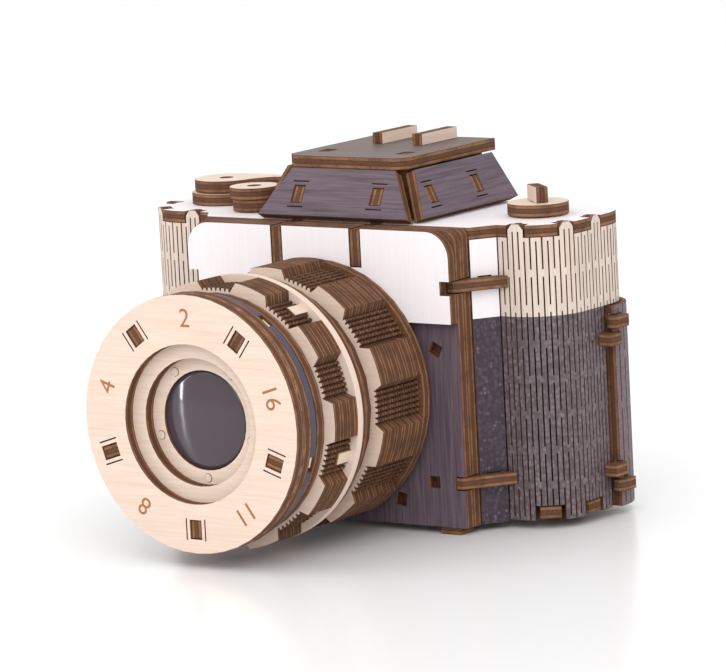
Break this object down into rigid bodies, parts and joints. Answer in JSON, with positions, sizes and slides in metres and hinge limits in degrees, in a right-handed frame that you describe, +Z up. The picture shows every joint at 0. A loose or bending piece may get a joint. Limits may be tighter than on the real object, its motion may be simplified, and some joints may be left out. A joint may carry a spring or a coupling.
{
  "type": "wooden toy camera",
  "caption": "Toy single-lens camera slotted together from laser-cut plywood, with slit bent ends, a stacked-ring lens, turning dials and a hinged back door",
  "frame": {"origin": "centre of the bounding box on the floor, under the feet", "axes": "+X to the right seen from the front, across the body; +Y from the lens to the back; +Z up"},
  "size_m": [0.143, 0.1194, 0.1021],
  "materials": {
    "birch_bare": "bare sanded birch plywood",
    "birch_white": "birch plywood with a thin white print",
    "birch_purple": "birch plywood with a dark purple-grey stain, grain showing",
    "birch_grey": "birch plywood with a grey stain",
    "birch_burnt": "birch plywood with laser-browned edges",
    "acrylic_dark": "dark smoked clear acrylic, polished"
  },
  "bodies": {
    "body": {"body_lug_bottom": "birch_burnt", "body_lug_top": "birch_burnt", "bottom_plate": "birch_burnt", "end_panel_left": "birch_purple", "end_panel_right": "birch_purple", "foot_front_left": "birch_burnt", "foot_front_right": "birch_burnt", "foot_rear_left": "birch_burnt", "foot_rear_right": "birch_burnt", "front_facing": "birch_white", "front_frame": "birch_burnt", "front_plate": "birch_purple", "hinge_pin_bottom": "birch_bare", "hinge_pin_top": "birch_bare", "lens_glass": "acrylic_dark", "lens_index_ring": "birch_bare", "lens_mount_ring": "birch_burnt", "lens_name_ring": "birch_bare", "lens_rear_ring": "birch_burnt", "lens_second_ring": "birch_bare", "lens_spacer_ring": "birch_burnt", "lens_stop_ring": "birch_burnt", "lens_stringer_1": "birch_bare", "lens_stringer_2": "birch_bare", "lens_stringer_3": "birch_bare", "lens_stringer_4": "birch_bare", "lens_stringer_5": "birch_bare", "lens_third_ring": "birch_purple", "lever_base": "birch_burnt", "prism_back": "birch_purple", "prism_frame_front": "birch_burnt", "prism_frame_rear": "birch_burnt", "prism_front": "birch_purple", "prism_rib_left": "birch_burnt", "prism_rib_right": "birch_burnt", "prism_roof": "birch_grey", "prism_side_left": "birch_purple", "prism_side_right": "birch_purple", "rear_panel": "birch_white", "shelf_lower": "birch_burnt", "shelf_upper": "birch_burnt", "shoe_rail_left": "birch_bare", "shoe_rail_right": "birch_bare", "side_panel_left": "birch_purple", "side_panel_right": "birch_purple", "top_plate": "birch_bare"},
    "focus": {"focus_ring": "birch_burnt"},
    "aperture": {"aperture_ring": "birch_burnt"},
    "lever": {"advance_lever": "birch_bare", "lever_axle": "birch_burnt"},
    "speed": {"speed_dial_base": "birch_burnt", "speed_dial_top": "birch_bare", "speed_axle": "birch_burnt"},
    "rewind": {"rewind_disc": "birch_bare", "rewind_axle": "birch_burnt", "rewind_key": "birch_bare"},
    "door": {"door_panel": "birch_purple", "door_lug_top": "birch_burnt", "door_lug_bottom": "birch_burnt"}
  },
  "joints": [
    {"name": "focus_turn", "type": "hinge", "parent": "body", "child": "focus", "pos_m": [0.00235, -0.03865, 0.0385], "axis": [0, 1, 0], "continuous": true},
    {"name": "aperture_turn", "type": "hinge", "parent": "body", "child": "aperture", "pos_m": [0.00235, -0.01365, 0.0385], "axis": [0, 1, 0], "continuous": true},
    {"name": "lever_swing", "type": "hinge", "parent": "body", "child": "lever", "pos_m": [-0.05315, 0.03635, 0.086], "axis": [0, 0, 1], "range_deg": [0, 130]},
    {"name": "speed_turn", "type": "hinge", "parent": "body", "child": "speed", "pos_m": [-0.03415, 0.02335, 0.086], "axis": [0, 0, 1], "continuous": true},
    {"name": "rewind_turn", "type": "hinge", "parent": "body", "child": "rewind", "pos_m": [0.05035, 0.03635, 0.086], "axis": [0, 0, 1], "continuous": true},
    {"name": "door_swing", "type": "hinge", "parent": "body", "child": "door", "pos_m": [0.06955, 0.04145, 0.03], "axis": [0, 0, -1], "range_deg": [0, 100]}
  ]
}
